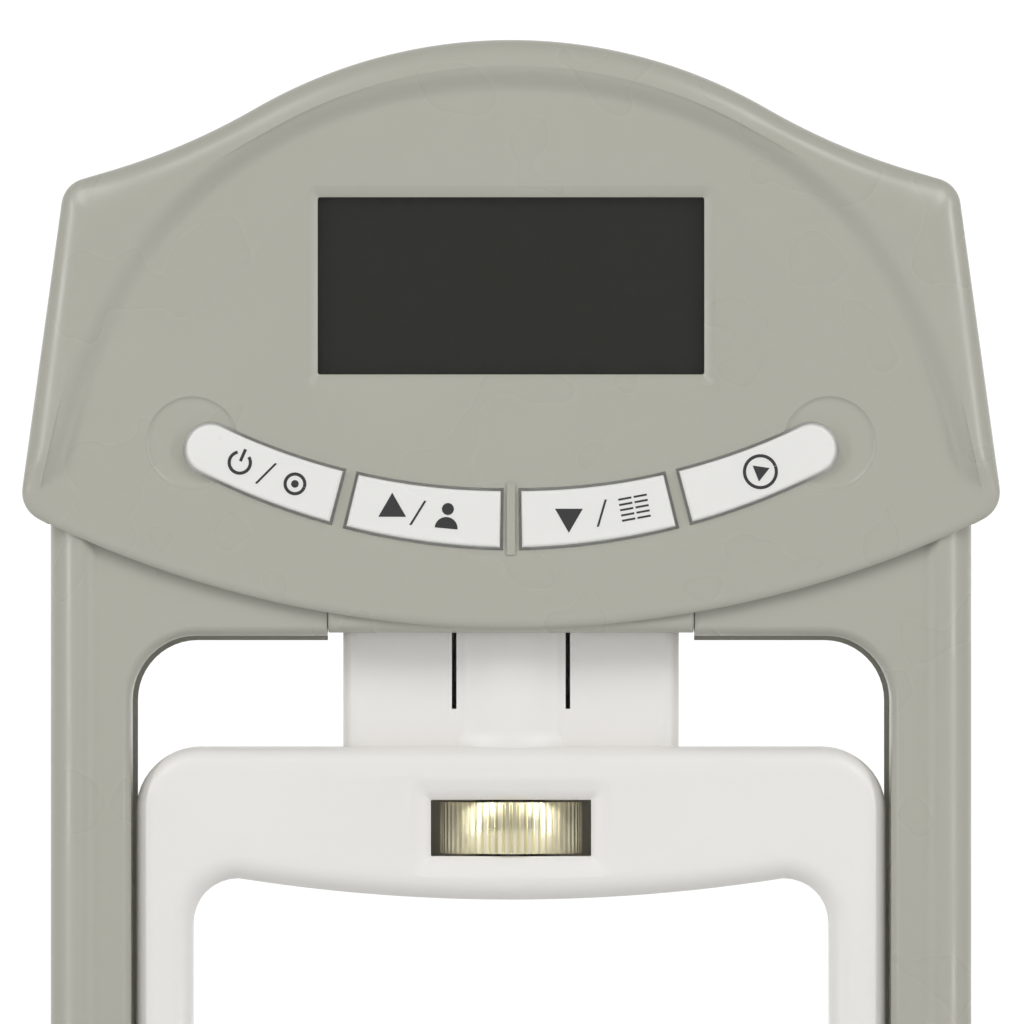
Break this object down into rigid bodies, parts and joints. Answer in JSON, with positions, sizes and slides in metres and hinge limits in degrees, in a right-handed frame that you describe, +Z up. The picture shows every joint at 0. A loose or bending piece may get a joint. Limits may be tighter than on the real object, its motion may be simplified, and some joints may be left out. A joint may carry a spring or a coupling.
{
  "type": "hand dynamometer",
  "caption": "Electronic hand dynamometer: frame with a palm bar and display head, and a finger grip that slides in it, set by a knurled wheel.",
  "frame": {"origin": "bottom centre of the whole object, in the plane of the palm bar's flat underside", "axes": "+Z up from the palm bar to the display head, -Y out of the display, +X to the right as the display is read"},
  "size_m": [0.128, 0.031, 0.195],
  "materials": {
    "housing_plastic": "fine satin moulded ABS, light grey-green",
    "grip_plastic": "satin moulded ABS, warm white",
    "key_plastic": "satin white keycap with dark printed symbol",
    "inner_plastic": "black moulded plastic",
    "display_lens": "smoked clear lens over an unlit display",
    "display_glass": "dark reflective display glass",
    "circuit_board": "green solder mask on glass-fibre board",
    "silicone_rubber": "grey silicone",
    "brass": "machined bright brass",
    "screw_steel": "machined steel",
    "plated_steel": "nickel-plated pressed steel",
    "cell_aluminium": "milled aluminium",
    "battery_wrap": "plain printed film sleeve",
    "lead_sheath": "thin wire insulation"
  },
  "bodies": {
    "housing": {"head_cover": "housing_plastic", "head_back": "housing_plastic", "frame_front": "housing_plastic", "frame_rear": "housing_plastic", "guide_bush": "housing_plastic", "head_screw_1_left": "screw_steel", "head_screw_1_right": "screw_steel", "head_screw_2_left": "screw_steel", "head_screw_2_right": "screw_steel", "frame_screw_1_left": "screw_steel", "frame_screw_1_right": "screw_steel", "frame_screw_2_left": "screw_steel", "frame_screw_2_right": "screw_steel", "coupling_nut": "brass", "pull_yoke": "plated_steel", "load_cell": "cell_aluminium", "yoke_bolt": "screw_steel", "cell_bolt_1": "screw_steel", "cell_bolt_2": "screw_steel", "key_mat": "silicone_rubber", "lcd_window": "display_lens", "lcd_panel": "display_glass", "contact_strip": "silicone_rubber", "circuit_board": "circuit_board", "board_screw_1_left": "screw_steel", "board_screw_1_right": "screw_steel", "controller_chip": "inner_plastic", "buzzer": "inner_plastic", "sensor_lead": "lead_sheath", "battery_tray": "inner_plastic", "battery_lower": "battery_wrap", "battery_upper": "battery_wrap", "contact_bridge": "plated_steel", "contact_negative": "plated_steel", "contact_positive": "plated_steel", "contact_spring_lower": "plated_steel", "contact_spring_upper": "plated_steel"},
    "grip": {"grip_front": "grip_plastic", "grip_rear": "grip_plastic", "grip_screw_1_left": "screw_steel", "grip_screw_1_right": "screw_steel", "grip_screw_2_left": "screw_steel", "grip_screw_2_right": "screw_steel", "thrust_washer_upper": "plated_steel", "thrust_washer_lower": "plated_steel"},
    "adjuster": {"adjusting_knob": "brass", "adjusting_screw": "screw_steel"},
    "power_key": {"key_power": "key_plastic"},
    "up_key": {"key_up": "key_plastic"},
    "down_key": {"key_down": "key_plastic"},
    "start_key": {"key_start": "key_plastic"},
    "door": {"battery_door": "housing_plastic"}
  },
  "joints": [
    {"name": "grip_adjust", "type": "slide", "parent": "housing", "child": "grip", "axis": [0, 0, 1], "range_m": [-0.01, 0.0125]},
    {"name": "knob_turn", "type": "hinge", "parent": "grip", "child": "adjuster", "pos_m": [0, 0, 0.0918], "axis": [0, 0, 1], "range_deg": [-3600, 4500]},
    {"name": "power_press", "type": "slide", "parent": "housing", "child": "power_key", "axis": [0, 1, 0], "range_m": [0, 0.0008], "stiffness_N_per_m": 400, "springref_m": -0.001},
    {"name": "up_press", "type": "slide", "parent": "housing", "child": "up_key", "axis": [0, 1, 0], "range_m": [0, 0.0008], "stiffness_N_per_m": 400, "springref_m": -0.001},
    {"name": "down_press", "type": "slide", "parent": "housing", "child": "down_key", "axis": [0, 1, 0], "range_m": [0, 0.0008], "stiffness_N_per_m": 400, "springref_m": -0.001},
    {"name": "start_press", "type": "slide", "parent": "housing", "child": "start_key", "axis": [0, 1, 0], "range_m": [0, 0.0008], "stiffness_N_per_m": 400, "springref_m": -0.001},
    {"name": "door_open", "type": "hinge", "parent": "housing", "child": "door", "pos_m": [0, 0.0155, 0.1636], "axis": [-1, 0, 0], "range_deg": [0, 75]}
  ],
  "couplings": [
    {"joint": "knob_turn", "follows": "grip_adjust", "rad_per_m": 6283.2}
  ]
}
